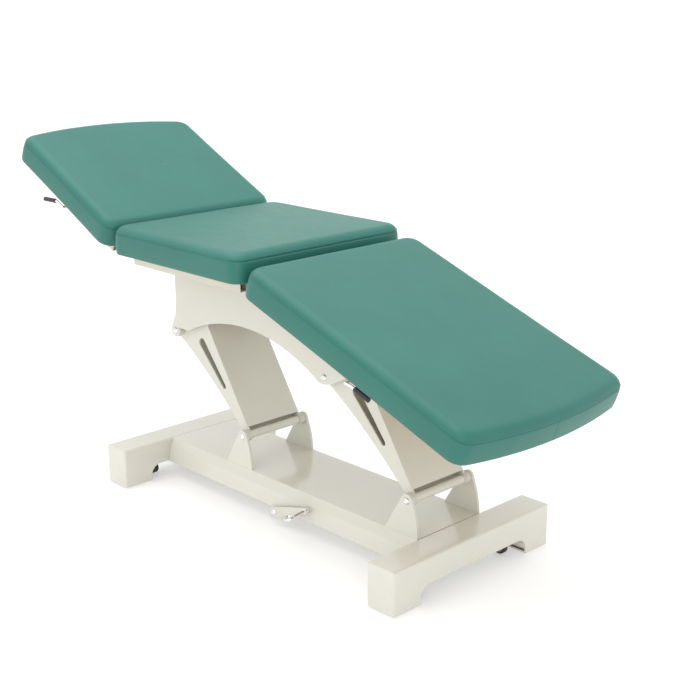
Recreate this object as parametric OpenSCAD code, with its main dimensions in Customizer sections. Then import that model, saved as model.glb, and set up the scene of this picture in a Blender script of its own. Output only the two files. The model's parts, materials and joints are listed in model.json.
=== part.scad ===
// Three-section examination table on a parallelogram lift.
// X runs along the table towards the leg end, Y across it, Z up from the floor.

/* [Base] */
// Place of the base's middle along the table
base_x = 87.5; // [60:0.5:110]
// Length of the base over both feet
base_len = 1220; // [1120:1:1400]
// Height of the base's flat top above the floor
base_top = 121; // [110:1:150]
// Width of one foot along the table
foot_w = 93; // [84:1:120]
// Length of one foot across the table
foot_len = 600; // [540:1:720]
// Length of each standing end of a foot
foot_end = 94; // [70:1:110]
// Height of the arch under a foot and of the beam's lower edge
arch_z = 51; // [46:1:58]
// Radius of the arch's upper corners
arch_r = 36; // [20:1:40]
// Radius of the feet's outer edges
edge_r = 6; // [2:1:10]
// Thickness of the feet's walls
foot_wall = 5; // [3:0.5:6]
// Width of the beam's flat top
beam_top_w = 240; // [220:1:280]
// Width of the beam at the crease in its sides
beam_crease_w = 264; // [250:1:290]
// Width of the beam at its lower edge
beam_low_w = 284; // [270:1:310]
// Drop from the top to the crease
beam_crease_drop = 27; // [20:1:40]
// Thickness of the beam's sheet
beam_wall = 4; // [3:0.5:6]
// Height of the rubber pads under the feet
pad_h = 5; // [3:1:10]
// Radius of the rubber pads
pad_r = 22; // [15:1:30]

/* [Lift] */
// Place of the rear arms' lower pivot along the table
rear_pivot_x = -88; // [-130:1:-50]
// Distance between the two lower pivots
pivot_span = 654; // [600:1:680]
// Height of the lower pivots
pivot_z = 214; // [200:1:240]
// Distance between an arm's two pivots
arm_len = 399; // [360:1:440]
// Angle of the arms above the floor
arm_angle = 40.6; // [30:0.1:55]
// Half of an arm's width
arm_half_w = 98; // [80:1:100]
// Thickness of an arm's sheet
arm_sheet = 5; // [3:0.5:6]
// Radius of the cross tubes at the arms' ends
arm_tube_r = 12; // [12:0.5:15]
// Radius of the pivot shafts
shaft_r = 7.5; // [7:0.5:8.5]
// Outer radius of the bushes in the cross tubes
bush_r = 10; // [9.5:0.5:11]
// Radius of the bushes' flanges
flange_r = 17; // [16:0.5:19]
// Thickness of the ears and of the side plates
ear_t = 8; // [6:0.5:10]
// Radius round the pivot at an ear's top
ear_r = 19; // [16:0.5:22]
// Radius of the domed pivot caps
cap_r = 10; // [9:0.5:12]
// Height of the domed pivot caps
cap_h = 7; // [5:0.5:9]

/* [Upholstery] */
// Width of the three cushions
pad_w = 615; // [560:1:720]
// Thickness of the three cushions
pad_t = 81; // [76:1:90]
// Height of the seat cushion's top
seat_z = 812; // [800:1:840]
// Head end of the seat cushion
seat_x0 = -428.5; // [-450:0.5:-410]
// Length of the seat cushion
seat_len = 569; // [560:1:600]
// Length of the back cushion at its corners
back_len = 500; // [420:1:600]
// Length of the leg cushion at its corners
leg_len = 787; // [650:1:820]
// Radius of the curved outer ends
end_curve_r = 1500; // [1000:10:3000]
// Radius of the cushions' corners seen from above
corner_r = 40; // [30:1:60]
// Radius of the cushions' upper edges
edge_round = 28; // [16:1:28]
// Thickness of the boards under the cushions
board_t = 12; // [9:1:18]
// Distance of a board's edge inside its cushion
board_inset = 16; // [10:1:30]

/* [Sections] */
// Gap between the seat and back cushions when flat
back_gap = 12; // [12:0.5:18]
// Depth of the back hinge below the cushions' top
back_hinge_drop = 26; // [22:0.5:26]
// Angle of the back section above flat
back_tilt = 26.2; // [0:0.1:60]
// Gap between the seat and leg cushions when flat
leg_gap = 4; // [3:0.5:10]
// Place of the leg hinge along the table
leg_hinge_x = 99.5; // [92:0.5:106]
// Angle of the leg section below flat
leg_tilt = 19.8; // [0:0.1:25]
// Height of the frames' tubes
tube_h = 34; // [30:1:40]
// Width of the frames' tubes
tube_w = 30; // [25:1:40]
// Wall of the frames' tubes
tube_wall = 2; // [1.5:0.5:3]
// Half of the frames' width
frame_half_w = 255; // [235:1:270]

/* [Castors] */
// Radius of the castor wheels
wheel_r = 20; // [18:0.5:22]
// Width of the castor wheels
wheel_w = 16; // [12:0.5:18]
// Distance of the castors from the table's middle
castor_y = 164; // [156:1:168]
// Height of the retracted wheels above the floor
castor_lift = 3; // [2:0.5:6]

/* [Hidden] */
$fn = 64;
run = 0.05;
gap = 0.5;

cream = [0.85, 0.84, 0.79];
teal = [0.32, 0.62, 0.57];
steel = [0.75, 0.75, 0.76];
dark = [0.12, 0.12, 0.13];

// Base
foot_in = base_len / 2 - foot_w;
ear_y = beam_top_w / 2;
ear_in = ear_y - ear_t;

// Lift, as [x, z] points
rear_low = [rear_pivot_x, pivot_z];
front_low = [rear_pivot_x + pivot_span, pivot_z];
arm_reach = [-arm_len * cos(arm_angle), arm_len * sin(arm_angle)];
rear_up = rear_low + arm_reach;
front_up = front_low + arm_reach;
// The arm's broad face runs from beside the lower tube up to its top edge
web_low = [8, 15];
web_top = [arm_len - 54, 117];

// Upholstery and frames, with the sections flat
pad_low = seat_z - pad_t;
end_sag = end_curve_r - sqrt(pow(end_curve_r, 2) - pow(pad_w / 2, 2));
frame_low = pad_low - tube_h;
seat_x1 = seat_x0 + seat_len;
back_x1 = seat_x0 - back_gap;
back_x0 = back_x1 - back_len;
leg_x0 = seat_x1 + leg_gap;
leg_x1 = leg_x0 + leg_len;
back_hinge = [seat_x0 - back_gap / 2, seat_z - back_hinge_drop];
leg_hinge = [leg_hinge_x, frame_low + tube_h / 2 - 2];
seat_rail_x0 = seat_x0 + 38;
seat_rail_x1 = leg_hinge_x - 10;
head_tube_x = seat_x0 + 4;
knuckle_r = back_gap / 2 - gap;
leaf_t = 3;
hinge_w = 400;
knuckle_count = 5;
knuckle_w = hinge_w / knuckle_count;

// Pins of the section hinges and of the release levers
pin_r = 5;
lever_y = 300;
lever_rod_r = 4;
grip_r = 6.5;
back_lever = [[back_x1 - 238, frame_low + 20], [back_x1 - 271, frame_low + 20], [back_x1 - 326, frame_low - 8]];
leg_lever = [[leg_x0 + 413, frame_low + 20], [leg_x0 + 436, frame_low + 24], [leg_x0 + 490, frame_low + 24]];

// Castors: a shaft under each foot, a bar on cranks between both shafts and the pedal
castor_x = base_len / 2 - foot_w / 2;
rocker_reach = 31;
rocker_x = castor_x - rocker_reach;
rocker_r = 6;
crank_r = 18;
crank_pin_r = 4;
crank_play = 0.8;
link_y = -100;
pedal_p = [-4, 42];
rocker_z = pedal_p[1] + 2 * crank_r;
pedal_shaft_r = 8;
pedal_y = -150;
pedal_end = [133, 89];
stem_r = 6;
axle_r = 3;
trail = 6;
axle_z = castor_lift + wheel_r;

// Turns its children about a line across the table through the point p
module turn(p, a) {
    translate([p[0], 0, p[1]]) rotate([0, a, 0]) translate([-p[0], 0, -p[1]]) children();
}

// Extrudes a drawing of the side view across the table
module across(y0, y1) {
    translate([0, y1, 0]) rotate([90, 0, 0]) linear_extrude(y1 - y0) children();
}

// Extrudes a drawing of the end view along the table
module along(x0, x1) {
    translate([x0, 0, 0]) rotate([90, 0, 90]) linear_extrude(x1 - x0) children();
}

module rod_y(p, r, y0, y1) {
    translate([p[0], y1, p[1]]) rotate([90, 0, 0]) cylinder(r = r, h = y1 - y0);
}

module both_sides() {
    children();
    mirror([0, 1, 0]) children();
}

// Rectangle between two corners, rounded at all four
module round_box(a, b, r) {
    translate(a + [r, 0]) square([b[0] - a[0] - 2 * r, b[1] - a[1]]);
    translate(a + [0, r]) square([b[0] - a[0], b[1] - a[1] - 2 * r]);
    for (x = [a[0] + r, b[0] - r], y = [a[1] + r, b[1] - r]) translate([x, y]) circle(r);
}

// Hollow rectangular tube between two corners, open along the axis k
module box_tube(a, b, k) {
    e = [for (i = [0:2]) i == k ? -1 : tube_wall];
    difference() {
        translate(a) cube(b - a);
        translate(a + e) cube(b - a - 2 * e);
    }
}

// Straight bar with round ends between two points of the side view
module link(p, q, r) {
    d = q - p;
    translate(p) rotate(atan2(d[1], d[0])) translate([0, -r]) square([norm(d), 2 * r]);
    translate(p) circle(r);
    translate(q) circle(r);
}

// Tapered outline with a round end of radius ra at a and rb at b
module taper(a, b, ra, rb) {
    hull() {
        translate(a) circle(ra, $fn = 40);
        translate(b) circle(rb, $fn = 40);
    }
}

// Round bar between two points in space, cut square at both ends
module bar(p, q, r) {
    d = q - p;
    translate(p) rotate([0, acos(d[2] / norm(d)), atan2(d[1], d[0])]) cylinder(r = r, h = norm(d));
}

// Puts its children in the base's own frame
module base_place() {
    translate([base_x, 0, 0]) children();
}

// ---------- base ----------

module beam_profile(t) {
    top = base_top - t;
    side = [[beam_top_w / 2 - t, top], [beam_crease_w / 2 - t, base_top - beam_crease_drop],
        [beam_low_w / 2 - t, arch_z - (t > 0 ? 1 : 0)]];
    polygon(concat(side, [for (i = [2:-1:0]) [-side[i][0], side[i][1]]]));
}

module base_beam() {
    color(cream) base_place() along(-foot_in, foot_in) difference() {
        beam_profile(0);
        beam_profile(beam_wall);
    }
}

module foot_outline() {
    difference() {
        round_box([-foot_len / 2, pad_h], [foot_len / 2, base_top], edge_r);
        round_box([foot_end - foot_len / 2, -arch_z], [foot_len / 2 - foot_end, arch_z], arch_r);
    }
    for (s = [-1, 1]) translate([s * (foot_len - foot_end) / 2 - foot_end / 2, pad_h])
        square([foot_end, 2 * edge_r]);
}

module foot(x0, beam_side) {
    inner = foot_len / 2 - foot_wall;
    leg_in = foot_len / 2 - foot_end;
    wall_x = beam_side < 0 ? x0 : x0 + foot_w - foot_wall;
    color(cream) base_place() difference() {
        intersection() {
            along(x0, x0 + foot_w) foot_outline();
            across(-foot_len, foot_len) round_box([x0, -edge_r], [x0 + foot_w, base_top], edge_r);
            linear_extrude(base_top)
                round_box([x0, -foot_len / 2], [x0 + foot_w, foot_len / 2], edge_r);
        }
        along(x0 + foot_wall, x0 + foot_w - foot_wall) {
            translate([-inner, arch_z + arch_r]) square([2 * inner, base_top - foot_wall - arch_z - arch_r]);
            translate([foot_wall - leg_in, -1]) square([2 * (leg_in - foot_wall), arch_z + arch_r + 2]);
            for (s = [-1, 1]) translate([s * (inner + leg_in) / 2 - (inner - leg_in) / 2, pad_h + foot_wall])
                square([inner - leg_in, arch_z + arch_r]);
        }
        translate([wall_x - 1, link_y - 12, arch_z - 1]) cube([foot_wall + 2, 34, base_top - arch_z - 8]);
    }
}

module front_foot() {
    foot(foot_in, -1);
}

module rear_foot() {
    foot(-base_len / 2, 1);
}

module foot_pads() {
    color(dark) base_place() for (x = [-castor_x, castor_x], y = [-1, 1])
        translate([x, y * (foot_len - foot_end) / 2, 0]) cylinder(r = pad_r, h = pad_h);
}

// Ear outline round the pivot, as the near ear stands on the beam
module ear_outline(p) {
    h = p[1] - base_top;
    lean = 9;
    translate(p) circle(ear_r);
    polygon([p + [-77, -h], p + [-ear_r * sin(60), ear_r * cos(60)], p + [ear_r * cos(lean), ear_r * sin(lean)],
        p + [31, -h * 0.33], p + [37, -h * 0.66], p + [40, -h]]);
}

module base_ears() {
    color(cream) both_sides() for (p = [rear_low, front_low]) difference() {
        across(ear_in, ear_y) ear_outline(p);
        rod_y(p, shaft_r + run, 0, ear_y + 1);
    }
}

module lower_shafts() {
    color(steel) for (p = [rear_low, front_low]) rod_y(p, shaft_r, -ear_y, ear_y);
}

// Domed cap on the outer face of an ear or a plate
module pivot_cap(p) {
    dome_r = (pow(cap_r, 2) + pow(cap_h, 2)) / (2 * cap_h);
    both_sides() intersection() {
        translate([p[0], ear_y + cap_h - dome_r, p[1]]) sphere(dome_r);
        rod_y(p, cap_r, ear_y, ear_y + cap_h + 1);
    }
}

module lower_pivot_caps() {
    color(steel) for (p = [rear_low, front_low]) pivot_cap(p);
}

// Two plates under the beam's top that carry the pedal's shaft
module pedal_brackets() {
    color(cream) base_place() for (y = [link_y - 14, link_y + 15]) difference() {
        across(y, y + 6) {
            translate(pedal_p) circle(16);
            translate(pedal_p - [16, 0]) square([32, base_top - beam_wall - pedal_p[1]]);
        }
        rod_y(pedal_p, pedal_shaft_r + run, y - 1, y + 7);
    }
}

module castor_shaft_bearings() {
    y1 = foot_len / 2 - foot_end - foot_wall - 7;
    color(steel) base_place() for (s = [-1, 1]) both_sides() difference() {
        translate([s * rocker_x - 10, y1 - 10, rocker_z - 10])
            cube([20, 10, base_top - foot_wall - rocker_z + 10]);
        rod_y([s * rocker_x, rocker_z], rocker_r + run, y1 - 11, y1 + 1);
    }
}

// ---------- lift arms ----------

// Puts an arm drawn from its lower pivot, along X and up Z, in its place
module arm_place(p) {
    translate([p[0], 0, p[1]]) rotate([0, arm_angle, 0]) mirror([1, 0, 0]) children();
}

// Lower edge of an arm's cheek: a shallow curve between the two pivots
function cheek_low(u) = -14 - 9 * u / arm_len + 52 * (u / arm_len) * (1 - u / arm_len);

module cheek_outline() {
    steps = 10;
    circle(flange_r - 1);
    translate([arm_len, 0]) circle(flange_r + 1);
    polygon(concat([for (i = [0:steps]) [arm_len * i / steps, cheek_low(arm_len * i / steps)]],
        [[arm_len, flange_r - 1], [web_top[0] + 26, web_top[1] - 22], web_top, web_low]));
}

module cheek_slot() {
    taper([160, 25], [308, 47], 7.5, 14);
}

module web_outline() {
    d = (web_top - web_low) / norm(web_top - web_low);
    n = arm_sheet * [d[1], -d[0]];
    low = web_low + 9 * d;
    polygon([low, web_top, web_top + n, low + n]);
}

// Curved sheet that closes an arm along its lower edge
module back_web_outline() {
    us = [for (i = [0:8]) 15 + (arm_len - 30) * i / 8];
    polygon(concat([for (u = us) [u, cheek_low(u) + 1]],
        [for (i = [8:-1:0]) [us[i], cheek_low(us[i]) + 1 + arm_sheet]]));
}

module arm(p) {
    difference() {
        arm_place(p) {
            both_sides() across(arm_half_w - arm_sheet, arm_half_w) difference() {
                cheek_outline();
                cheek_slot();
            }
            across(-arm_half_w, arm_half_w) {
                web_outline();
                back_web_outline();
            }
            for (u = [0, arm_len]) rod_y([u, 0], arm_tube_r, -arm_half_w, arm_half_w);
        }
        for (q = [p, p + arm_reach]) rod_y(q, bush_r, -arm_half_w - 1, arm_half_w + 1);
    }
}

// Flanged bushes at both ends of an arm's two cross tubes
module arm_bushes(p) {
    color(cream) for (q = [p, p + arm_reach]) both_sides() difference() {
        union() {
            rod_y(q, bush_r, arm_half_w - 30, arm_half_w);
            rod_y(q, flange_r, arm_half_w, ear_in - gap);
        }
        rod_y(q, shaft_r + run, 0, ear_y);
    }
}

module front_arm() {
    color(cream) arm(front_low);
}

module front_arm_bushes() {
    arm_bushes(front_low);
}

module rear_arm() {
    color(cream) arm(rear_low);
}

module rear_arm_bushes() {
    arm_bushes(rear_low);
}

// ---------- upper frame ----------

module plate_outline() {
    u1 = rear_up;
    u2 = front_up;
    arch_r_big = 575;
    mid = (u1 + u2) / 2 + [-5, 0];
    difference() {
        polygon([u1 + [5, frame_low - u1[1]], u1 + [7, 95], u1 + [1, 50], u1 + [-19, 8], u1 + [-14, -14],
            u1 + [15, -15], mid + [-310, 12], mid, u2 + [0, -20], u2 + [26, -14], u2 + [90, 18],
            u2 + [128, 42], u2 + [120, 60], [leg_hinge[0] - 8, frame_low]]);
        translate(mid + [0, 72 - arch_r_big]) circle(arch_r_big, $fn = 160);
    }
    translate(u1) circle(20);
    translate(u2) circle(20);
}

module side_plates() {
    color(cream) both_sides() difference() {
        across(ear_in, ear_y) plate_outline();
        for (q = [rear_up, front_up]) rod_y(q, shaft_r + run, 0, ear_y + 1);
    }
}

// Lug plates of the leg hinge on the inner face of a side rail
module hinge_lug(x0, x1, y0, y1) {
    difference() {
        across(y0, y1) {
            translate(leg_hinge) circle(14);
            translate([min(x0, x1), leg_hinge[1] - 12]) square([abs(x1 - x0), 24]);
        }
        rod_y(leg_hinge, pin_r + run, y0 - 1, y1 + 1);
    }
}

module seat_frame() {
    inner = frame_half_w - tube_w;
    color(cream) {
        both_sides() box_tube([seat_rail_x0, inner, frame_low], [seat_rail_x1, frame_half_w, pad_low], 0);
        for (x = [seat_rail_x0, seat_rail_x0 + 170, seat_rail_x0 + 300, seat_rail_x1 - 62])
            box_tube([x, -inner, frame_low], [x + tube_w, inner, pad_low], 1);
        box_tube([head_tube_x, -hinge_w / 2, frame_low], [seat_rail_x0, hinge_w / 2, pad_low], 1);
        both_sides() hinge_lug(leg_hinge[0], seat_rail_x1 - 40, inner - 6, inner);
    }
}

module cross_tubes() {
    color(cream) for (p = [[rear_up[0] + 55, frame_low - 32], [front_up[0] - 190, frame_low - 32]])
        difference() {
            rod_y(p, 15, -ear_in, ear_in);
            rod_y(p, 12, -ear_in - 1, ear_in + 1);
        }
}

// Points of an arc round the point c, from angle a0 to a1
function arc(c, r, a0, a1, steps) =
    [for (i = [0:steps]) let (t = a0 + (a1 - a0) * i / steps) c + r * [cos(t), sin(t)]];

// Outline of a cushion with a square end at x0 and a curved end past x1, seen from above
module curved_outline(x0, x1, inset) {
    big = end_curve_r - inset;
    half = pad_w / 2 - inset;
    r = corner_r - inset / 2;
    middle = x1 + end_sag - end_curve_r;
    lean = asin((half - r) / (big - r));
    corner_x = middle + (big - r) * cos(lean);
    head_x = x0 + inset + r;
    polygon(concat(
        arc([head_x, r - half], r, 180, 270, 9),
        arc([corner_x, r - half], r, 270, 360 - lean, 8),
        arc([middle, 0], big, 1 - lean, lean - 1, 16),
        arc([corner_x, half - r], r, lean, 90, 8),
        arc([head_x, half - r], r, 90, 180, 9)));
}

// Outline of a cushion seen from above; bulge is 1 or -1 for the end that curves out
module pad_outline(x0, x1, bulge, inset) {
    half = pad_w / 2 - inset;
    if (bulge == 0) round_box([x0 + inset, -half], [x1 - inset, half], corner_r - inset / 2);
    if (bulge > 0) curved_outline(x0, x1, inset);
    if (bulge < 0) mirror([1, 0]) curved_outline(-x1, -x0, inset);
}

module board(x0, x1, bulge) {
    translate([0, 0, pad_low]) linear_extrude(board_t) pad_outline(x0, x1, bulge, board_inset);
}

module cushion(x0, x1, bulge) {
    a = x0 - (bulge < 0 ? end_sag + 1 : 0);
    b = x1 + (bulge > 0 ? end_sag + 1 : 0);
    difference() {
        intersection() {
            translate([0, 0, pad_low]) linear_extrude(pad_t) pad_outline(x0, x1, bulge, 0);
            across(-pad_w, pad_w) round_box([a, pad_low - edge_round], [b, seat_z], edge_round);
            along(a - 1, b + 1) round_box([-pad_w / 2, pad_low - edge_round], [pad_w / 2, seat_z], edge_round);
        }
        board(x0, x1, bulge);
    }
}

module seat_board() {
    color("tan") board(seat_x0, seat_x1, 0);
}

module seat_cushion() {
    color(teal) cushion(seat_x0, seat_x1, 0);
}

module upper_shafts() {
    color(steel) for (p = [rear_up, front_up]) rod_y(p, shaft_r, -ear_y, ear_y);
}

module upper_pivot_caps() {
    color(steel) for (p = [rear_up, front_up]) pivot_cap(p);
}

// One leaf of the back hinge; side is 1 for the seat's and -1 for the back's
module hinge_leaf(side, first) {
    face = back_hinge[0] + side * back_gap / 2;
    x0 = side > 0 ? face - leaf_t : face;
    difference() {
        union() {
            translate([x0, -hinge_w / 2, frame_low])
                cube([leaf_t, hinge_w, back_hinge[1] - knuckle_r - gap - frame_low]);
            for (i = [first:2:knuckle_count - 1]) {
                y0 = -hinge_w / 2 + i * knuckle_w + gap / 2;
                translate([x0, y0, frame_low]) cube([leaf_t, knuckle_w - gap, back_hinge[1] - frame_low]);
                rod_y(back_hinge, knuckle_r, y0, y0 + knuckle_w - gap);
            }
        }
        rod_y(back_hinge, 2.5 + run, -hinge_w, hinge_w);
    }
}

module back_hinge_seat_leaf() {
    color(steel) {
        hinge_leaf(1, 0);
        translate([seat_x0, -hinge_w / 2, frame_low]) cube([head_tube_x - seat_x0, hinge_w, tube_h]);
    }
}

module back_hinge_pin() {
    color(steel) rod_y(back_hinge, 2.5, -hinge_w / 2 - 3, hinge_w / 2 + 3);
}

module leg_hinge_pins() {
    inner = frame_half_w - tube_w;
    color(steel) both_sides() {
        rod_y(leg_hinge, pin_r, inner - 14, inner);
        rod_y(leg_hinge, pin_r + 3, inner - 18, inner - 14);
    }
}

// ---------- back section ----------

module back_place() {
    turn(back_hinge, back_tilt) children();
}

// Boss on the outer face of a near rail, for a release lever's pivot
module lever_boss(p) {
    difference() {
        rod_y(p, 10, -frame_half_w - 12, -frame_half_w);
        rod_y(p, lever_rod_r + run, -frame_half_w - 13, -frame_half_w);
    }
}

module back_frame() {
    inner = frame_half_w - tube_w;
    x0 = back_x0 + 40;
    x1 = back_x1 - 24;
    color(cream) back_place() {
        both_sides() box_tube([x0, inner, frame_low], [x1, frame_half_w, pad_low], 0);
        for (x = [x0, (x0 + x1 - tube_w) / 2, x1 - tube_w])
            box_tube([x, -inner, frame_low], [x + tube_w, inner, pad_low], 1);
        box_tube([x1, -hinge_w / 2, frame_low], [back_x1 - 4, hinge_w / 2, pad_low], 1);
        lever_boss(back_lever[0]);
    }
}

module back_board() {
    color("tan") back_place() board(back_x0, back_x1, -1);
}

module back_cushion() {
    color(teal) back_place() cushion(back_x0, back_x1, -1);
}

module back_hinge_back_leaf() {
    color(steel) back_place() {
        hinge_leaf(-1, 1);
        translate([back_x1 - 4, -hinge_w / 2, frame_low]) cube([4, hinge_w, tube_h]);
    }
}

// ---------- leg section ----------

module leg_place() {
    turn(leg_hinge, leg_tilt) children();
}

module leg_frame() {
    inner = frame_half_w - tube_w;
    x0 = leg_hinge[0] + 14;
    x1 = leg_x1 - 110;
    color(cream) leg_place() {
        both_sides() {
            box_tube([x0 + 2, inner, frame_low], [x1, frame_half_w, pad_low], 0);
            hinge_lug(leg_hinge[0], x0 + 40, inner - 12.5, inner - 6.5);
            translate([x0 + 16, inner - 12.5, frame_low + 4]) cube([24, 12.5, 20]);
        }
        for (x = [x0 + 40, x0 + 280, x0 + 500, x1 - tube_w])
            box_tube([x, -inner, frame_low], [x + tube_w, inner, pad_low], 1);
        lever_boss(leg_lever[0]);
    }
}

module leg_board() {
    color("tan") leg_place() board(leg_x0, leg_x1, 1);
}

module leg_cushion() {
    color(teal) leg_place() cushion(leg_x0, leg_x1, 1);
}

// ---------- release levers ----------

// Bent rod from the pivot in the rail's boss out to the near edge and along it
module lever_rod(p) {
    y0 = -frame_half_w;
    rod_y(p[0], lever_rod_r, -lever_y, y0 - gap);
    translate([p[0][0], -lever_y, p[0][1]]) sphere(lever_rod_r);
    bar([p[0][0], -lever_y, p[0][1]], [p[1][0], -lever_y, p[1][1]], lever_rod_r);
    translate([p[1][0], -lever_y, p[1][1]]) sphere(lever_rod_r);
    bar([p[1][0], -lever_y, p[1][1]], [p[2][0], -lever_y, p[2][1]], lever_rod_r);
    rod_y(p[0], 8, y0 - 16, y0 - 12 - gap);
}

module lever_grip(p) {
    a = [p[1][0], -lever_y, p[1][1]];
    b = [p[2][0], -lever_y, p[2][1]];
    d = (b - a) / norm(b - a);
    difference() {
        bar(a + 10 * d, b + 6 * d, grip_r);
        bar(a, b, lever_rod_r);
    }
}

module back_lever_rod() {
    color(steel) back_place() lever_rod(back_lever);
}

module back_lever_grip() {
    color(dark) back_place() lever_grip(back_lever);
}

module leg_lever_rod() {
    color(steel) leg_place() lever_rod(leg_lever);
}

module leg_lever_grip() {
    color(dark) leg_place() lever_grip(leg_lever);
}

// ---------- castors ----------

module pedal_shaft() {
    pin = pedal_p + [0, crank_r];
    color(steel) base_place() {
        rod_y(pedal_p, pedal_shaft_r, pedal_y - 3, link_y + 21);
        across(link_y + 7, link_y + 13) link(pedal_p, pin, 8);
        rod_y(pin, crank_pin_r, link_y - 5, link_y + 7);
    }
}

module pedal_plate() {
    color(cream) base_place() difference() {
        across(pedal_y - 3, pedal_y + 3) taper(pedal_p, pedal_end, 16, 8);
        rod_y(pedal_p, pedal_shaft_r, pedal_y - 4, pedal_y + 4);
    }
}

module pedal_loop() {
    start = [pedal_end[0], pedal_y - 3, pedal_end[1]];
    ring = [117, -200, 77];
    color(steel) base_place() {
        translate(start) rotate([90, 0, 0]) cylinder(r = 8, h = 8);
        bar(start + [0, -4, 0], ring + [10, 8, 3], 5);
        translate(ring) rotate([10, -14, 0]) rotate_extrude() translate([13, 0]) circle(4);
    }
}

module pedal_bolt() {
    dome_r = (pow(cap_r, 2) + pow(cap_h, 2)) / (2 * cap_h);
    y = pedal_y - 3;
    color(steel) base_place() intersection() {
        translate([pedal_p[0], y - cap_h + dome_r, pedal_p[1]]) sphere(dome_r);
        rod_y(pedal_p, cap_r, y - cap_h - 1, y);
    }
}

// Sliding bar; it pushes over the front shaft and under the rear one, so both turn outwards
module castor_link() {
    rear = [-rocker_x, rocker_z - crank_r];
    mid = pedal_p + [0, crank_r];
    knee = [rocker_x - 84, mid[1]];
    front = [rocker_x, rocker_z + crank_r];
    color(steel) base_place() difference() {
        across(link_y - 4, link_y + 4) {
            taper(rear, knee, 7, 7);
            taper(knee, front, 7, 7);
        }
        for (p = [rear, mid, front]) rod_y(p, crank_pin_r + crank_play, link_y - 5, link_y + 5);
    }
}

// Shaft under a foot with an arm to each castor and a crank for the bar
module rocker(s) {
    c = [s * rocker_x, rocker_z];
    boss = [s * castor_x, rocker_z - 12];
    pin = c + [0, s * crank_r];
    y1 = foot_len / 2 - foot_end - foot_wall - 7;
    color(steel) base_place() difference() {
        union() {
            rod_y(c, rocker_r, -y1, y1);
            for (y = [-castor_y, castor_y]) {
                across(y - 7, y + 7) link(c, boss, 8);
                translate([boss[0], y, boss[1] - 13]) cylinder(r = 11, h = 27);
            }
            across(link_y + 7, link_y + 13) link(c, pin, 8);
            rod_y(pin, crank_pin_r, link_y - 5, link_y + 7);
        }
        for (y = [-castor_y, castor_y]) translate([boss[0], y, 0]) cylinder(r = stem_r + run, h = base_top);
    }
}

module front_castor_rocker() {
    rocker(1);
}

module rear_castor_rocker() {
    rocker(-1);
}

module castor_place(sx, sy) {
    translate([base_x + sx * castor_x, sy * castor_y, 0]) children();
}

module castor_fork(sx, sy) {
    crown_z = axle_z + wheel_r + 2;
    boss_top = rocker_z + 2;
    cheek = wheel_w / 2 + 1;
    color(steel) castor_place(sx, sy) {
        translate([0, 0, crown_z]) cylinder(r = 13, h = 4);
        translate([0, 0, crown_z]) cylinder(r = stem_r, h = boss_top + 4 - crown_z);
        translate([0, 0, crown_z + 4]) cylinder(r = 9, h = rocker_z - 25 - gap - crown_z - 4);
        translate([0, 0, boss_top + gap]) cylinder(r = 9, h = 4);
        for (s = [-1, 1]) across(s * (cheek + 1.5) - 1.5, s * (cheek + 1.5) + 1.5)
            link([0, crown_z], [-trail, axle_z], 6);
        rod_y([-trail, axle_z], axle_r, -cheek - 1, cheek + 1);
    }
}

module castor_hub(sx, sy) {
    color(dark) castor_place(sx, sy) difference() {
        rod_y([-trail, axle_z], wheel_r - 6, -wheel_w / 2, wheel_w / 2);
        rod_y([-trail, axle_z], axle_r + run, -wheel_w, wheel_w);
    }
}

module castor_tyre(sx, sy) {
    color(dark) castor_place(sx, sy) translate([-trail, 0, axle_z]) rotate([90, 0, 0])
        rotate_extrude() round_box([wheel_r - 6, -wheel_w / 2], [wheel_r, wheel_w / 2], 2.5);
}

module castor_fork_front_near() {
    castor_fork(1, -1);
}

module castor_fork_front_far() {
    castor_fork(1, 1);
}

module castor_fork_rear_near() {
    castor_fork(-1, -1);
}

module castor_fork_rear_far() {
    castor_fork(-1, 1);
}

module castor_wheel_front_near() {
    castor_hub(1, -1);
}

module castor_wheel_front_far() {
    castor_hub(1, 1);
}

module castor_wheel_rear_near() {
    castor_hub(-1, -1);
}

module castor_wheel_rear_far() {
    castor_hub(-1, 1);
}

module castor_tyre_front_near() {
    castor_tyre(1, -1);
}

module castor_tyre_front_far() {
    castor_tyre(1, 1);
}

module castor_tyre_rear_near() {
    castor_tyre(-1, -1);
}

module castor_tyre_rear_far() {
    castor_tyre(-1, 1);
}

base_beam();
front_foot();
rear_foot();
foot_pads();
base_ears();
lower_shafts();
lower_pivot_caps();
pedal_brackets();
castor_shaft_bearings();
front_arm();
front_arm_bushes();
rear_arm();
rear_arm_bushes();
side_plates();
seat_frame();
cross_tubes();
seat_board();
seat_cushion();
upper_shafts();
upper_pivot_caps();
back_hinge_seat_leaf();
back_hinge_pin();
leg_hinge_pins();
back_frame();
back_board();
back_cushion();
back_hinge_back_leaf();
back_lever_rod();
back_lever_grip();
leg_frame();
leg_board();
leg_cushion();
leg_lever_rod();
leg_lever_grip();
pedal_shaft();
pedal_plate();
pedal_loop();
pedal_bolt();
castor_link();
front_castor_rocker();
rear_castor_rocker();
castor_fork_front_near();
castor_fork_front_far();
castor_fork_rear_near();
castor_fork_rear_far();
castor_wheel_front_near();
castor_wheel_front_far();
castor_wheel_rear_near();
castor_wheel_rear_far();
castor_tyre_front_near();
castor_tyre_front_far();
castor_tyre_rear_near();
castor_tyre_rear_far();
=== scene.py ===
"""Examination table: three upholstered sections on a parallelogram lift over a low base."""
import json
import math

import bmesh
import bpy
from bpy.props import FloatProperty, FloatVectorProperty, PointerProperty
from mathutils import Matrix, Vector, noise


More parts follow.
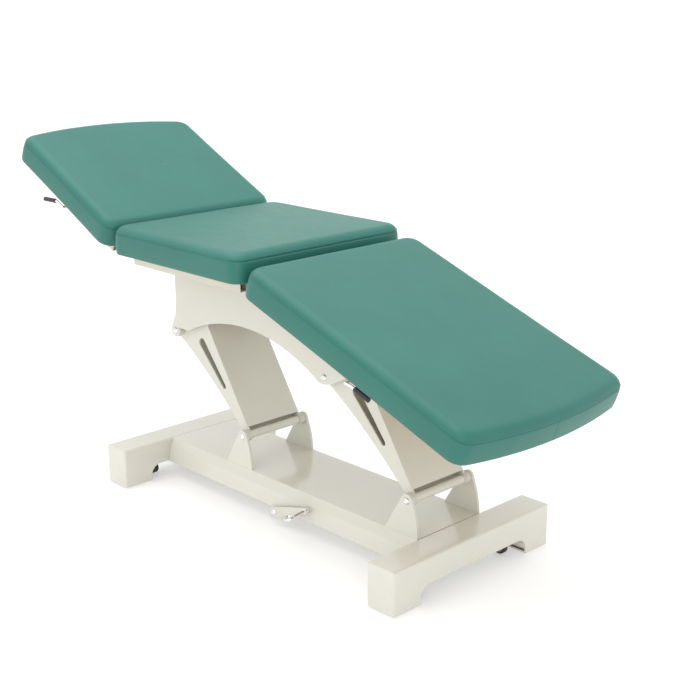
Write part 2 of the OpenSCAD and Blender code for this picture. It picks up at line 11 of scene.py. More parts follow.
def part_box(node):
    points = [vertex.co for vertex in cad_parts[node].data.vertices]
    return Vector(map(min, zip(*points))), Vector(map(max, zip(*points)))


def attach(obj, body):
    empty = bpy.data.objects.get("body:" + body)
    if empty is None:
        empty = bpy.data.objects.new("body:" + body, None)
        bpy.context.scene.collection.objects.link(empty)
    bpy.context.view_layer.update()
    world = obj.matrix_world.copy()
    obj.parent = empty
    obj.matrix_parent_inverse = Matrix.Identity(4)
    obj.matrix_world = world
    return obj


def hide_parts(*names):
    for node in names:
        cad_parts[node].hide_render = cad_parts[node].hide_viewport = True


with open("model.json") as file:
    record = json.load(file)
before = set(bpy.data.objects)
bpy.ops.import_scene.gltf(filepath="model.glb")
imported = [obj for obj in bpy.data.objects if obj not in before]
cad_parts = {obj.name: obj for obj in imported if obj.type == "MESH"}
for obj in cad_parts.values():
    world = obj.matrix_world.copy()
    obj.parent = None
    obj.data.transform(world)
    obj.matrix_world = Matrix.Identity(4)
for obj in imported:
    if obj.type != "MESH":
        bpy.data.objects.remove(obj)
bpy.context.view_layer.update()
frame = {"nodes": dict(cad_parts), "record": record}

bl_info = {
    "name": "Examination table",
    "version": (1, 0, 0),
    "blender": (4, 5, 0),
    "location": "View3D > Sidebar > Table",
    "description": "Upholstery, fittings, finishes and studio for a packed examination table",
    "category": "Object",
}

JOINTS = {j["name"]: j for j in frame["record"]["behaviour"]["joints"]}
SEAT_LO, SEAT_HI = (Vector(p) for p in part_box("seat_cushion"))
SLOTS = {s["node"]: s["material_slot"] for s in frame["record"]["subparts"]}
BODIES = {"seat": "upper_frame", "back": "back_section", "leg": "leg_section"}
GLOSSY_NODES = ("base_beam", "front_foot", "rear_foot")

# Plan of a cushion, in metres
HALF_WIDTH = (SEAT_HI.y - SEAT_LO.y) / 2
WAIST = 0.0015                  # how far a long side pulls in between its corners
CORNER_SHRINK = 0.6             # loss of corner radius for each unit of inset
LEAST_CORNER = 0.012            # smallest corner radius of an inner ring
CORNER_STEPS = 8
END_STEPS = 40
LONG_CUSHION = 0.6              # a longer cushion gets more steps along its sides
LONG_STEPS = 64
SHORT_STEPS = 48
SEAM_STATIONS = (-0.0045, -0.0018, 0.0018, 0.0045)      # beside the seam up a curved end

# Section of a cushion, in metres
GROOVE_DROP = 0.0215            # where GROOVE is deepest
GROOVE = ((0.0290, 0.0), (0.0245, 0.05), (0.0229, 0.55), (0.0221, 0.95), (0.0215, 1.0),
          (0.0208, 0.85), (0.0200, 0.35), (0.0188, 0.05))      # drop, share of the seam's depth
EDGE_DROPS = (0.0160, 0.0125, 0.0092, 0.0062, 0.0038, 0.0019, 0.0007)
TOP_SHARES = (0.0, 0.028, 0.07, 0.13, 0.21, 0.31, 0.43, 0.57, 0.72, 0.87, 1.0)
RIM = 0.93                      # share of the reach where the rings end
END_SEAM_DEPTH = 0.0018
UNDERSIDE = 0.004               # a low point further in than this lies underneath
CROWN_START = 0.010             # inset where the crown begins
CROWN_RUN = 0.075               # inset over which it builds up
CROWN_DROP = 0.015              # the crown lifts only what is above this drop
SOFT_DROP = 0.012               # unevenness of the top above this drop, puckers below it
PUCKER_DROP = 0.03              # lowest puckers
SOFT_HEIGHT, SOFT_SCALE, SOFT_SEED = 0.0006, 9.0, 3.0
PUCKER_SHARE, PUCKER_SCALE, PUCKER_SEED = 0.0003, 60.0, 7.0

# Thread, staples and screws, in metres
STITCHES_UP = 0.0048            # height of the stitches above the boxing seam
THREAD_SUNK = 0.3               # share of the thread's radius that sinks in
STAPLE_LENGTH, STAPLE_RADIUS = 0.010, 0.0006
STAPLE_PLACE = 0.62             # share of the folded lip
STAPLE_LIFT = 0.00005
RAIL_INSET = 0.015              # from a frame's side to the line of screws
SCREW_PLACES = (0.14, 0.42, 0.70)       # shares of a section's length
SPOT = 0.0001                   # half size of the triangle that marks a screw
WASHER_HEIGHT, WASHER_SHARE = 0.0012, 1.5

# Edges softened in the shading, in metres
COAT_BEVEL = 0.0016
METAL_BEVEL = 0.0007

# Lights and camera, in metres and degrees
AIM = Vector((0.0, 0.0, 0.5))
OVERHEAD_AT, OVERHEAD_SIZE = Vector((-0.6, -0.4, 3.6)), 3.4
SIDE_AT, SIDE_SIZE = Vector((3.2, -3.4, 2.2)), 2.6
CAMERA_AT = Vector((2.5838, -2.2605, 1.4842))
CAMERA_TURN, CAMERA_LIFT, CAMERA_ROLL = 46.07, 16.50, -0.21
SENSOR_WIDTH = 36.0             # millimetres
CAMERA_FAR = 60.0


# ---------- settings ----------

def length(name, description, default, low=0.0, high=3.0):
    return FloatProperty(name=name, description=description, default=default, min=low, max=high,
                         subtype="DISTANCE", unit="LENGTH", precision=4)


def angle(name, description, default):
    return FloatProperty(name=name, description=description, default=math.radians(default),
                         min=0.0, max=math.pi / 2, subtype="ANGLE", unit="ROTATION")


def colour(name, description, default):
    return FloatVectorProperty(name=name, description=description, default=default, size=3,
                               min=0.0, max=1.0, subtype="COLOR")


def power(name, description, default):
    return FloatProperty(name=name, description=description, default=default, min=0.0)


class UpholsterySettings(bpy.types.PropertyGroup):
    back_length: length("Back length", "Length of the back cushion at its corners", 0.500)
    leg_length: length("Leg length", "Length of the leg cushion at its corners", 0.787)
    back_gap: length("Back gap", "Gap between the seat and back cushions when flat", 0.012)
    leg_gap: length("Leg gap", "Gap between the seat and leg cushions when flat", 0.004)
    end_radius: length("End radius", "Radius of the curved outer ends", 1.5, 0.5, 5.0)
    corner: length("Corner radius", "Radius of the corners seen from above", 0.040)
    edge: length("Edge radius", "Radius of the upper edges", 0.027)
    seam_drop: length("Seam drop", "Depth of the boxing seam below the top", 0.0215)
    seam_depth: length("Seam depth", "Depth of the groove along the boxing seam", 0.0022)
    crown: length("Crown", "Rise of the middle over the edges", 0.0028)
    lip: length("Lip", "Width of vinyl folded under the board", 0.0155)
    board: length("Board", "Depth of the pocket that the board fills", 0.0122)
    stitch: length("Stitch", "Length of one stitch", 0.0034)
    stitch_gap: length("Stitch spacing", "Distance between stitches", 0.0052)
    thread: length("Thread", "Radius of the thread", 0.00045)
    back_tilt: angle("Back tilt", "Angle of the back section above flat", 26.2)
    leg_tilt: angle("Leg tilt", "Angle of the leg section below flat", 19.8)
    vinyl: colour("Vinyl", "Colour of the upholstery", (0.022, 0.160, 0.126))


class FittingSettings(bpy.types.PropertyGroup):
    screw_radius: length("Screw radius", "Radius of the board screws' heads", 0.006)
    screw_height: length("Screw height", "Height of the board screws' heads", 0.0035)
    staple_gap: length("Staple spacing", "Distance between the staples under a board's edge", 0.028)
    coat: colour("Powder coat", "Colour of the coated frame", (0.665, 0.655, 0.575))


class StudioSettings(bpy.types.PropertyGroup):
    floor_size: length("Floor size", "Side of the square floor", 40.0, 5.0, 100.0)
    floor: colour("Floor", "Colour of the floor", (0.72, 0.72, 0.72))
    glow: power("Floor glow", "Light that the floor itself gives", 0.5)
    key: power("Key light", "Power of the overhead light", 60.0)
    fill: power("Fill light", "Power of the side light", 18.0)
    sky: power("Surround", "Strength of the pale surround", 1.04)
    lens: FloatProperty(name="Lens", description="Focal length", default=64.57, min=10.0,
                        subtype="DISTANCE_CAMERA")


# ---------- shader maths ----------

class Wire:
    """A shader socket that takes part in Python arithmetic."""

    def __init__(self, finish, socket):
        self.finish = finish
        self.socket = socket

    def _maths(self, operation, a, b):
        return self.finish.node("ShaderNodeMath", {"operation": operation}, {0: a, 1: b})

    def __add__(self, other):
        return self._maths("ADD", self, other)

    def __mul__(self, other):
        return self._maths("MULTIPLY", self, other)

    __radd__ = __add__


class Finish:
    """A material under construction."""

    def __init__(self, name):
        self.material = bpy.data.materials.new(name)
        self.material.use_nodes = True
        self.tree = self.material.node_tree
        self.shader = next(n for n in self.tree.nodes if n.type == "BSDF_PRINCIPLED")
        self.place = self.node("ShaderNodeTexCoord", {}, {}, "Object")

    def put(self, socket, value):
        if isinstance(value, Wire):
            self.tree.links.new(value.socket, socket)
        elif hasattr(socket.default_value, "__len__") and len(socket.default_value) == 4:
            socket.default_value = (*value, 1.0)
        else:
            socket.default_value = value

    def node(self, kind, settings, inputs, output=0):
        node = self.tree.nodes.new(kind)
        for name, value in settings.items():
            if name == "stops":
                while len(node.color_ramp.elements) < len(value):
                    node.color_ramp.elements.new(0.5)
                for element, (at, tone) in zip(node.color_ramp.elements, value):
                    element.position = at
                    element.color = (tone, tone, tone, 1.0)
            else:
                setattr(node, name, value)
        for name, value in inputs.items():
            self.put(node.inputs[name], value)
        return Wire(self, node.outputs[output])

    def noise(self, scale, detail, roughness=0.5, where=None):
        return self.node("ShaderNodeTexNoise", {}, {"Vector": where or self.place, "Scale": scale,
                                                    "Detail": detail, "Roughness": roughness}, "Fac")

    def cells(self, scale):
        return self.node("ShaderNodeTexVoronoi", {}, {"Vector": self.place, "Scale": scale}, "Distance")

    def stretched(self, x, y, z):
        return self.node("ShaderNodeMapping", {}, {"Vector": self.place, "Scale": (x, y, z)})

    def steps(self, value, stops):
        return self.node("ShaderNodeValToRGB", {"stops": stops}, {0: value})

    def blend(self, factor, a, b):
        return self.node("ShaderNodeMix", {"data_type": "RGBA"}, {0: factor, 6: a, 7: b}, 2)

    def normal(self, height, distance, strength, soften=0.0):
        inputs = {"Height": height, "Distance": distance, "Strength": strength}
        if soften:
            inputs["Normal"] = self.node("ShaderNodeBevel", {"samples": 4}, {"Radius": soften})
        self.set(Normal=self.node("ShaderNodeBump", {}, inputs))

    def set(self, **sockets):
        for name, value in sockets.items():
            self.put(self.shader.inputs[name.replace("_", " ")], value)
        return self


def shade(tone, factor):
    return tuple(min(1.0, c * factor) for c in tone)


def vinyl_finish(name, tone):
    """Smooth upholstery vinyl with a fine pressed grain."""
    f = Finish(name)
    grain = f.cells(820.0)
    pores = f.noise(2100.0, 2.0)
    cloud = f.noise(5.5, 3.0)
    rub = f.noise(26.0, 4.0, 0.6)
    f.set(Base_Color=f.blend(f.steps(cloud, [(0.3, 0.0), (0.75, 1.0)]), shade(tone, 0.95), shade(tone, 1.06)),
          Roughness=0.36 + rub * 0.12 + grain * 0.06, Coat_Weight=0.06, Coat_Roughness=0.25,
          Sheen_Weight=0.03, Sheen_Roughness=0.4, IOR=1.45)
    f.normal(grain * 0.7 + pores * 0.3, 0.00035, 0.55)
    return f.material


def powder_finish(name, tone, gloss=0.34, coat=0.22):
    """Semi-gloss powder coat with a faint orange peel, handling marks, and colour darker towards the bottom.
    """
    f = Finish(name)
    peel = f.noise(420.0, 2.0)
    speck = f.noise(1500.0, 1.0)
    smudge = f.steps(f.noise(9.0, 5.0, 0.62), [(0.45, 0.0), (0.8, 1.0)])
    height = f.node("ShaderNodeSeparateXYZ", {}, {0: f.place}, "Z")
    low = f.node("ShaderNodeMapRange", {"clamp": True}, {"Value": height, 1: 0.0, 2: 0.12, 3: 1.0, 4: 0.0})
    # colour made darker towards the bottom, in patches over the lowest 0.12 m, plus faint smudges
    low_darkening_and_smudges = low * f.noise(38.0, 4.0) * 0.30 + smudge * 0.10
    f.set(Base_Color=f.blend(low_darkening_and_smudges, tone, shade(tone, 0.78)), Roughness=gloss + peel * 0.10 + smudge * 0.06,
          Coat_Weight=coat, Coat_Roughness=0.08, IOR=1.5)
    f.normal(peel * 0.8 + speck * 0.2, 0.00012, 0.5, COAT_BEVEL)
    return f.material


def metal_finish(name, tone, rough, along=(1.0, 1.0, 1.0)):
    """Metal with fine drawn marks; along stretches them."""
    f = Finish(name)
    marks = f.noise(260.0, 3.0, 0.6, f.stretched(*along))
    haze = f.noise(30.0, 3.0)
    f.set(Base_Color=f.blend(haze, shade(tone, 0.93), tone), Metallic=1.0,
          Roughness=rough + marks * rough * 0.8 + haze * 0.04)
    f.normal(marks, 0.00006, 0.4, METAL_BEVEL)
    return f.material


def plastic_finish(name, tone, rough, pebble=700.0, depth=0.0003, soften=0.0006):
    """Moulded plastic or rubber with a pebbled skin."""
    f = Finish(name)
    skin = f.cells(pebble)
    dust = f.noise(45.0, 4.0)
    f.set(Base_Color=f.blend(dust * 0.4, tone, tuple(c * 0.9 + 0.012 for c in tone)),
          Roughness=rough + dust * 0.12, IOR=1.5)
    f.normal(skin, depth, 0.5, soften)
    return f.material


def plywood_finish(name):
    """Bare plywood with long grain along the table and its plies on the edges."""
    f = Finish(name)
    grain = f.noise(46.0, 5.0, 0.62, f.stretched(0.09, 1.0, 1.0))
    fibre = f.noise(900.0, 2.0, 0.5, f.stretched(0.03, 1.0, 1.0))
    tone = f.blend(f.steps(grain, [(0.35, 0.0), (0.68, 1.0)]), (0.56, 0.37, 0.19), (0.40, 0.24, 0.11))
    f.set(Base_Color=f.blend(fibre * 0.35, tone, (0.64, 0.46, 0.27)), Roughness=0.55 + grain * 0.2)
    f.normal(grain * 0.4 + fibre * 0.6, 0.0002, 0.6)
    return f.material


# ---------- shapes ----------

def section(joint, tilt):
    """Matrix that tilts a flat section about its joint into its place."""
    hinge = Vector(JOINTS[joint]["pos_m"])
    return Matrix.Translation(hinge) @ Matrix.Rotation(tilt, 4, "Y") @ Matrix.Translation(-hinge)


def spread(a, b, count, extra):
    """Sorted values from a to b with the extra ones among them."""
    return sorted({round(a + (b - a) * i / count, 9) for i in range(count + 1)} | set(extra))


def bulge(s):
    """How far a curved end stands out beyond its corners."""
    return s.end_radius - math.sqrt(s.end_radius ** 2 - HALF_WIDTH ** 2)


def rounding(s, drop):
    """Inset of the rounded upper edge at that drop below the top."""
    return s.edge - math.sqrt(max(0.0, s.edge ** 2 - (s.edge - drop) ** 2)) if drop < s.edge else 0.0


def outline(x0, x1, inset, s, curved):
    """Plan of a cushion from its square end x0 to its corners at x1: (x, y, on the end's middle, station)."""
    half = HALF_WIDTH - inset
    r = max(s.corner - inset * CORNER_SHRINK, min(LEAST_CORNER, half * 0.6))
    r = min(r, half * 0.9)
    head = x0 + inset + r
    loop = []

    def corner(cx, cy, a0, a1):
        for i in range(CORNER_STEPS + 1):
            t = math.radians(a0 + (a1 - a0) * i / CORNER_STEPS)
            y = cy + r * math.sin(t)
            loop.append((cx + r * math.cos(t), y, False, y))

    if curved:
        big = s.end_radius - inset
        centre = x1 + bulge(s) - s.end_radius
        lean = math.degrees(math.asin((half - r) / (big - r)))
        tail = centre + (big - r) * math.cos(math.radians(lean))
    else:
        lean = 0.0
        tail = x1 - inset - r
    side = LONG_STEPS if x1 - x0 > LONG_CUSHION else SHORT_STEPS

    def straight(sign, forward):
        fractions = [i / side for i in range(1, side)]
        for u in fractions if forward else fractions[::-1]:
            loop.append((head + (tail - head) * u, sign * (half - WAIST * math.sin(math.pi * u)), False,
                         sign * half))

    corner(head, r - half, 180, 270)
    straight(-1, True)
    corner(tail, r - half, 270, 360 - lean)
    seam = [station for station in SEAM_STATIONS if abs(station) < half - r]
    stations = spread(-(half - r), half - r, END_STEPS, seam)[1:-1]
    for y in stations:
        if curved:
            t = math.asin(y / (half - r) * math.sin(math.radians(lean)))
            loop.append((centre + big * math.cos(t), big * math.sin(t), abs(y) < 1e-6, y))
        else:
            loop.append((x1 - inset, y, False, y))
    corner(tail, half - r, lean, 90)
    straight(1, False)
    corner(head, half - r, 90, 180)
    for y in stations[::-1]:
        loop.append((x0 + inset, y, False, y))
    return loop


def side_profile(thick, reach, s):
    """(inset, drop below the top) from the pocket round the edge to near the middle of the top."""
    pocket = [(0.05, thick - s.board), (s.lip, thick - s.board)]
    lip = [(s.lip - 0.0004, thick - 0.001), (s.lip - 0.002, thick), (0.005, thick)]
    side = [(0.0016, thick - 0.0008), (0.0004, thick - 0.003), (-0.0004, thick - 0.010),
            (-0.0009, thick * 0.72), (-0.0010, thick * 0.58), (-0.0006, thick * 0.45)]
    seam = []
    for drop, depth in GROOVE:
        drop += s.seam_drop - GROOVE_DROP
        seam.append((rounding(s, drop) + depth * s.seam_depth, drop))
    edge = [(rounding(s, drop), drop) for drop in EDGE_DROPS]
    top = [(s.edge + (reach * RIM - s.edge) * u, 0.0) for u in TOP_SHARES]
    return pocket + lip + side + seam + edge + top


def cushion_mesh(name, x0, x1, curved, mirrored, place, s):
    """Closed crowned cushion; its sewn edge is a groove, and a curved end has a seam up its middle."""
    top = SEAT_HI.z
    sag = bulge(s) if curved else 0.0
    reach = min(HALF_WIDTH, (x1 + sag - x0) / 2)
    middle_x = (x0 + x1 + sag) / 2
    bm = bmesh.new()

    def vertex(x, y, drop, inset):
        x = -x if mirrored else x
        rise = soft = pucker = 0.0
        if drop < CROWN_DROP:
            rise = s.crown * (1 - math.exp(-max(0.0, inset - CROWN_START) / CROWN_RUN))
        if drop < SOFT_DROP:
            soft = noise.noise(Vector((x * SOFT_SCALE, y * SOFT_SCALE, SOFT_SEED + top))) * SOFT_HEIGHT
        elif SOFT_DROP < drop < PUCKER_DROP:
            pucker = noise.noise(Vector((x * PUCKER_SCALE, y * PUCKER_SCALE, PUCKER_SEED))) * PUCKER_SHARE
        return bm.verts.new(place @ Vector((x, y * (1 + pucker), top - drop + rise + soft)))

    rings = []
    for inset, drop in side_profile(top - SEAT_LO.z, reach, s):
        ring = []
        for x, y, middle, _ in outline(x0, x1, inset, s, curved):
            if middle and drop > s.seam_drop and inset < UNDERSIDE:
                x -= END_SEAM_DEPTH
            ring.append(vertex(x, y, drop, inset))
        rings.append(ring)
    spine = {}
    ridge = []
    for x, y, _, station in outline(x0, x1, reach * RIM, s, curved):
        if reach == HALF_WIDTH:
            at = (min(max(x, x0 + HALF_WIDTH), x1 + sag - HALF_WIDTH), 0.0)
        else:
            at = (middle_x, min(max(station, reach - HALF_WIDTH), HALF_WIDTH - reach))
        at = (round(at[0], 6), round(at[1], 6))
        if at not in spine:
            spine[at] = vertex(*at, 0.0, reach)
        ridge.append(spine[at])
    rings.append(ridge)
    for a, b in zip(rings, rings[1:]):
        for i in range(len(a)):
            j = (i + 1) % len(a)
            bm.faces.new((a[i], a[j], b[i]) if b[i] == b[j] else (a[i], a[j], b[j], b[i]))
    bm.faces.new(rings[0][::-1])
    if mirrored:
        bmesh.ops.recalc_face_normals(bm, faces=bm.faces)
    bmesh.ops.triangulate(bm, faces=[f for f in bm.faces if len(f.verts) > 4])
    mesh = bpy.data.meshes.new(name)
    bm.to_mesh(mesh)
    bm.free()
    for face in mesh.polygons:
        face.use_smooth = True
    return mesh


def link_object(name, data, material=None):
    obj = bpy.data.objects.new(name, data)
    bpy.context.scene.collection.objects.link(obj)
    if material:
        data.materials.append(material)
    return obj


def path_object(name, loop):
    """Closed poly curve through the points."""
    curve = bpy.data.curves.new(name, "CURVE")
    curve.dimensions = "3D"
    spline = curve.splines.new("POLY")
    spline.points.add(len(loop) - 1)
    for point, p in zip(spline.points, loop):
        point.co = (*p, 1.0)
    spline.use_cyclic_u = True
    return link_object(name, curve)


def plain_mesh(source, name):
    """The evaluated result of a node modifier as a plain mesh object; the source is removed."""
    bpy.context.view_layer.update()
    depsgraph = bpy.context.evaluated_depsgraph_get()
    mesh = bpy.data.meshes.new_from_object(source.evaluated_get(depsgraph), depsgraph=depsgraph)
    mesh.name = name
    data = source.data
    bpy.data.objects.remove(source)
    if isinstance(data, bpy.types.Curve):
        bpy.data.curves.remove(data)
    else:
        bpy.data.meshes.remove(data)
    return link_object(name, mesh)


def node_group(name, inputs):
    """Geometry node group with a geometry in and out, and the named inputs."""
    group = bpy.data.node_groups.new(name, "GeometryNodeTree")
    group.interface.new_socket("Geometry", in_out="INPUT", socket_type="NodeSocketGeometry")
    for label, kind, default in inputs:
        socket = group.interface.new_socket(label, in_out="INPUT", socket_type=kind)
        if default is not None:
            socket.default_value = default
    group.interface.new_socket("Geometry", in_out="OUTPUT", socket_type="NodeSocketGeometry")
    return group, group.nodes.new("NodeGroupInput"), group.nodes.new("NodeGroupOutput")


def finish_group(group, start, end, instances):
    """Realises the instances, sets the material and joins the output."""
    real = group.nodes.new("GeometryNodeRealizeInstances")
    paint = group.nodes.new("GeometryNodeSetMaterial")
    group.links.new(instances, real.inputs[0])
    group.links.new(real.outputs[0], paint.inputs["Geometry"])
    group.links.new(start.outputs["Material"], paint.inputs["Material"])
    group.links.new(paint.outputs[0], end.inputs[0])


def stitch_group():
    """Short lengths of thread set end to end along a curve."""
    group, start, end = node_group("seam_stitches", [
        ("Spacing", "NodeSocketFloat", 0.005), ("Length", "NodeSocketFloat", 0.003),
        ("Radius", "NodeSocketFloat", 0.0005), ("Material", "NodeSocketMaterial", None)])
    points = group.nodes.new("GeometryNodeCurveToPoints")
    points.mode = "LENGTH"
    thread = group.nodes.new("GeometryNodeMeshCylinder")
    thread.inputs["Vertices"].default_value = 6
    stand = group.nodes.new("GeometryNodeInstanceOnPoints")
    link = group.links.new
    link(start.outputs["Geometry"], points.inputs["Curve"])
    link(start.outputs["Spacing"], points.inputs["Length"])
    link(start.outputs["Radius"], thread.inputs["Radius"])
    link(start.outputs["Length"], thread.inputs["Depth"])
    link(points.outputs["Points"], stand.inputs["Points"])
    link(points.outputs["Rotation"], stand.inputs["Rotation"])
    link(thread.outputs["Mesh"], stand.inputs["Instance"])
    finish_group(group, start, end, stand.outputs[0])
    return group


def screw_group():
    """Hexagon heads on washers, one at each vertex, standing along the vertex normal."""
    group, start, end = node_group("board_screws", [
        ("Radius", "NodeSocketFloat", 0.006), ("Height", "NodeSocketFloat", 0.003),
        ("Material", "NodeSocketMaterial", None)])
    link = group.links.new
    head = group.nodes.new("GeometryNodeMeshCylinder")
    head.inputs["Vertices"].default_value = 6
    washer = group.nodes.new("GeometryNodeMeshCylinder")
    washer.inputs["Vertices"].default_value = 24
    washer.inputs["Depth"].default_value = WASHER_HEIGHT
    wide = group.nodes.new("ShaderNodeMath")
    wide.operation = "MULTIPLY"
    wide.inputs[1].default_value = WASHER_SHARE
    both = group.nodes.new("GeometryNodeJoinGeometry")
    normal = group.nodes.new("GeometryNodeInputNormal")
    align = group.nodes.new("FunctionNodeAlignRotationToVector")
    align.axis = "Z"
    stand = group.nodes.new("GeometryNodeInstanceOnPoints")
    link(start.outputs["Radius"], head.inputs["Radius"])
    link(start.outputs["Height"], head.inputs["Depth"])
    link(start.outputs["Radius"], wide.inputs[0])
    link(wide.outputs[0], washer.inputs["Radius"])
    link(head.outputs["Mesh"], both.inputs[0])
    link(washer.outputs["Mesh"], both.inputs[0])
    link(start.outputs["Geometry"], stand.inputs["Points"])
    link(both.outputs[0], stand.inputs["Instance"])
    link(normal.outputs[0], align.inputs["Vector"])
    link(align.outputs[0], stand.inputs["Rotation"])
    finish_group(group, start, end, stand.outputs[0])
    return group


def run_group(obj, group, values, name):
    """Applies a geometry node group with the named inputs and returns the plain result."""
    modifier = obj.modifiers.new(group.name, "NODES")
    modifier.node_group = group
    for item in group.interface.items_tree:
        if item.item_type == "SOCKET" and item.in_out == "INPUT" and item.name in values:
            modifier[item.identifier] = values[item.name]
    return plain_mesh(obj, name)


def cushion_sizes(s):
    """x0, x1, curved, mirrored, placing matrix for each section."""
    seat = (SEAT_LO.x, SEAT_HI.x)
    back = seat[0] - s.back_gap
    leg = seat[1] + s.leg_gap
    return {
        "seat": (seat[0], seat[1], False, False, Matrix.Identity(4)),
        "back": (-back, -back + s.back_length, True, True, section("back_tilt", s.back_tilt)),
        "leg": (leg, leg + s.leg_length, True, False, section("leg_tilt", s.leg_tilt)),
    }


def ring_points(key, s, inset, height):
    """A cushion's outline at that inset and height, in its place."""
    x0, x1, curved, mirrored, place = cushion_sizes(s)[key]
    sign = -1 if mirrored else 1
    return [place @ Vector((sign * x, y, height)) for x, y, _, _ in outline(x0, x1, inset, s, curved)]


# ---------- operators ----------

class TABLE_OT_cushions(bpy.types.Operator):
    """Make the three upholstered cushions"""
    bl_idname = "table.cushions"
    bl_label = "Cushions"

    def execute(self, context):
        s = context.scene.table_upholstery
        vinyl = vinyl_finish("teal_vinyl", tuple(s.vinyl))
        for key, (x0, x1, curved, mirrored, place) in cushion_sizes(s).items():
            name = f"{key}_upholstery"
            obj = link_object(name, cushion_mesh(name, x0, x1, curved, mirrored, place, s), vinyl)
            smooth = obj.modifiers.new("smooth", "SUBSURF")
            smooth.levels = smooth.render_levels = 1
            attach(obj, BODIES[key])
            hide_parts(f"{key}_cushion")
        return {"FINISHED"}


class TABLE_OT_stitches(bpy.types.Operator):
    """Sew the stitches above the boxing seams"""
    bl_idname = "table.stitches"
    bl_label = "Stitches"

    def execute(self, context):
        s = context.scene.table_upholstery
        thread = plastic_finish("teal_thread", shade(tuple(s.vinyl), 1.25), 0.5, 2500.0, 0.0001, 0.0)
        group = stitch_group()
        drop = s.seam_drop - STITCHES_UP
        for key in BODIES:
            loop = ring_points(key, s, rounding(s, drop) - s.thread * THREAD_SUNK, SEAT_HI.z - drop)
            path = path_object(f"{key}_seam_path", loop)
            values = {"Spacing": s.stitch_gap, "Length": s.stitch, "Radius": s.thread, "Material": thread}
            obj = run_group(path, group, values, f"{key}_stitches")
            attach(obj, BODIES[key])
        return {"FINISHED"}


class TABLE_OT_staples(bpy.types.Operator):
    """Staple the folded vinyl to the undersides"""
    bl_idname = "table.staples"
    bl_label = "Staples"

    def execute(self, context):
        s = context.scene.table_upholstery
        f = context.scene.table_fittings
        wire = metal_finish("staple_wire", (0.62, 0.62, 0.63), 0.3)
        group = bpy.data.node_groups.get("seam_stitches") or stitch_group()
        for key in BODIES:
            loop = ring_points(key, s, s.lip * STAPLE_PLACE, SEAT_LO.z + STAPLE_LIFT)
            path = path_object(f"{key}_staple_path", loop)
            values = {"Spacing": f.staple_gap, "Length": STAPLE_LENGTH, "Radius": STAPLE_RADIUS,
                      "Material": wire}
            obj = run_group(path, group, values, f"{key}_staples")
            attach(obj, BODIES[key])
        return {"FINISHED"}


class TABLE_OT_board_screws(bpy.types.Operator):
    """Screw the frames to their boards from below"""
    bl_idname = "table.board_screws"
    bl_label = "Board screws"

    def execute(self, context):
        s = context.scene.table_upholstery
        f = context.scene.table_fittings
        zinc = metal_finish("zinc_screw", (0.66, 0.66, 0.64), 0.25)
        group = screw_group()
        frame_lo, frame_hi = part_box("seat_frame")
        height = frame_lo[2] - f.screw_height * 0.5
        rail = frame_hi[1] - RAIL_INSET
        for key in BODIES:
            x0, x1, _, mirrored, place = cushion_sizes(s)[key]
            sign = -1 if mirrored else 1
            reach = x1 - x0
            spots = [(x0 + reach * u, side * rail) for u in SCREW_PLACES for side in (-1, 1)]
            mesh = bpy.data.meshes.new(f"{key}_screw_spots")
            bm = bmesh.new()
            for x, y in spots:
                spot = [place @ Vector((sign * x + dx, y + dy, height)) for dx, dy in
                        ((-SPOT, -SPOT), (SPOT, -SPOT), (0.0, SPOT))]
                face = bm.faces.new([bm.verts.new(p) for p in spot])
                face.normal_update()
                if (place.to_3x3() @ Vector((0, 0, -1))).dot(face.normal) < 0:
                    face.normal_flip()
            bm.to_mesh(mesh)
            bm.free()
            obj = link_object(f"{key}_screws_source", mesh)
            result = run_group(obj, group, {"Radius": f.screw_radius, "Height": f.screw_height,
                                            "Material": zinc}, f"{key}_board_screws")
            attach(result, BODIES[key])
        return {"FINISHED"}


class TABLE_OT_finishes(bpy.types.Operator):
    """Give every carried-over piece its finish"""
    bl_idname = "table.finishes"
    bl_label = "Finishes"

    def execute(self, context):
        coat = tuple(context.scene.table_fittings.coat)
        finishes = {
            "powder_coat": powder_finish("warm_white_coat", coat),
            "vinyl": vinyl_finish("plain_vinyl", tuple(context.scene.table_upholstery.vinyl)),
            "plywood": plywood_finish("board_plywood"),
            "chrome": metal_finish("polished_chrome", (0.82, 0.83, 0.85), 0.07),
            "steel": metal_finish("zinc_steel", (0.58, 0.58, 0.57), 0.24, (1.0, 0.12, 1.0)),
            "bearing_plastic": plastic_finish("bearing_cream", shade(coat, 0.93), 0.42),
            "black_plastic": plastic_finish("grip_black", (0.016, 0.016, 0.018), 0.38),
            "black_rubber": plastic_finish("pad_rubber", (0.02, 0.02, 0.02), 0.7, 500.0, 0.0005),
            "tyre": plastic_finish("wheel_rubber", (0.022, 0.022, 0.023), 0.62, 400.0, 0.0004),
            "grey_plastic": plastic_finish("hub_grey", (0.16, 0.16, 0.17), 0.4),
        }
        glossy = powder_finish("base_coat", coat, 0.12, coat=0.55)
        for node, obj in frame["nodes"].items():
            finish = glossy if node in GLOSSY_NODES else finishes[SLOTS[node]]
            if not obj.material_slots:
                obj.data.materials.append(finish)
            for entry in obj.material_slots:
                entry.material = finish
        return {"FINISHED"}


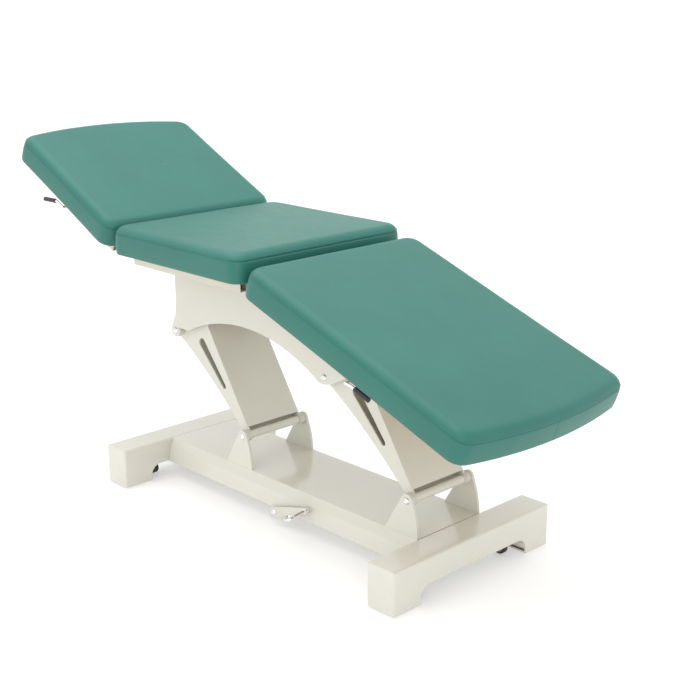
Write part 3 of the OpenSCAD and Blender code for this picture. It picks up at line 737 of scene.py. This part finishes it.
class TABLE_OT_studio(bpy.types.Operator):
    """Set the floor, the lights, the surround and the camera"""
    bl_idname = "table.studio"
    bl_label = "Studio"

    def execute(self, context):
        s = context.scene.table_studio
        context.scene.view_settings.view_transform = "Standard"
        self.floor(s)
        self.surround(context.scene, s)
        self.light("overhead_light", OVERHEAD_AT, OVERHEAD_SIZE, s.key)
        self.light("side_light", SIDE_AT, SIDE_SIZE, s.fill)
        self.camera(context.scene, s)
        return {"FINISHED"}

    def floor(self, s):
        h = s.floor_size / 2
        mesh = bpy.data.meshes.new("floor")
        mesh.from_pydata([(-h, -h, 0), (h, -h, 0), (h, h, 0), (-h, h, 0)], [], [(0, 1, 2, 3)])
        f = Finish("floor_paint")
        f.set(Base_Color=tuple(s.floor), Roughness=0.75, Emission_Color=tuple(s.floor),
              Emission_Strength=s.glow)
        link_object("floor", mesh, f.material)

    def surround(self, scene, s):
        world = bpy.data.worlds.new("pale_surround")
        world.use_nodes = True
        back = next(n for n in world.node_tree.nodes if n.type == "BACKGROUND")
        back.inputs["Color"].default_value = (1.0, 1.0, 1.0, 1.0)
        back.inputs["Strength"].default_value = s.sky
        scene.world = world

    def light(self, name, at, size, energy):
        lamp = bpy.data.lights.new(name, "AREA")
        lamp.shape = "SQUARE"
        lamp.size = size
        lamp.energy = energy
        obj = link_object(name, lamp)
        obj.location = at
        obj.rotation_euler = (AIM - at).to_track_quat("-Z", "Y").to_euler()

    def camera(self, scene, s):
        turn, lift, roll = (math.radians(a) for a in (CAMERA_TURN, CAMERA_LIFT, CAMERA_ROLL))
        back = Vector((math.sin(turn) * math.cos(lift), -math.cos(turn) * math.cos(lift), math.sin(lift)))
        right = Vector((math.cos(turn), math.sin(turn), 0.0))
        up = back.cross(right)
        side = right * math.cos(roll) + up * math.sin(roll)
        top = up * math.cos(roll) - right * math.sin(roll)
        data = bpy.data.cameras.new("camera")
        data.lens = s.lens
        data.sensor_width = SENSOR_WIDTH
        data.clip_end = CAMERA_FAR
        obj = link_object("camera", data)
        obj.matrix_world = Matrix.Translation(CAMERA_AT) @ Matrix((side, top, back)).transposed().to_4x4()
        scene.camera = obj


OPERATORS = (TABLE_OT_cushions, TABLE_OT_stitches, TABLE_OT_staples, TABLE_OT_board_screws,
             TABLE_OT_finishes, TABLE_OT_studio)


class TABLE_PT_sidebar(bpy.types.Panel):
    """Settings and steps of the examination table"""
    bl_idname = "TABLE_PT_sidebar"
    bl_label = "Examination table"
    bl_space_type = "VIEW_3D"
    bl_region_type = "UI"
    bl_category = "Table"

    def draw(self, context):
        scene = context.scene
        for group in (scene.table_upholstery, scene.table_fittings, scene.table_studio):
            box = self.layout.box()
            for name in group.__annotations__:
                box.prop(group, name)
        for operator in OPERATORS:
            self.layout.operator(operator.bl_idname)


CLASSES = (UpholsterySettings, FittingSettings, StudioSettings, *OPERATORS, TABLE_PT_sidebar)


def register():
    for cls in CLASSES:
        bpy.utils.register_class(cls)
    bpy.types.Scene.table_upholstery = PointerProperty(type=UpholsterySettings)
    bpy.types.Scene.table_fittings = PointerProperty(type=FittingSettings)
    bpy.types.Scene.table_studio = PointerProperty(type=StudioSettings)


def unregister():
    del bpy.types.Scene.table_upholstery
    del bpy.types.Scene.table_fittings
    del bpy.types.Scene.table_studio
    for cls in reversed(CLASSES):
        bpy.utils.unregister_class(cls)


def main():
    register()
    bpy.ops.table.studio()
    bpy.ops.table.finishes()
    bpy.ops.table.cushions()
    bpy.ops.table.stitches()
    bpy.ops.table.staples()
    bpy.ops.table.board_screws()


if __name__ == "__main__":
    main()
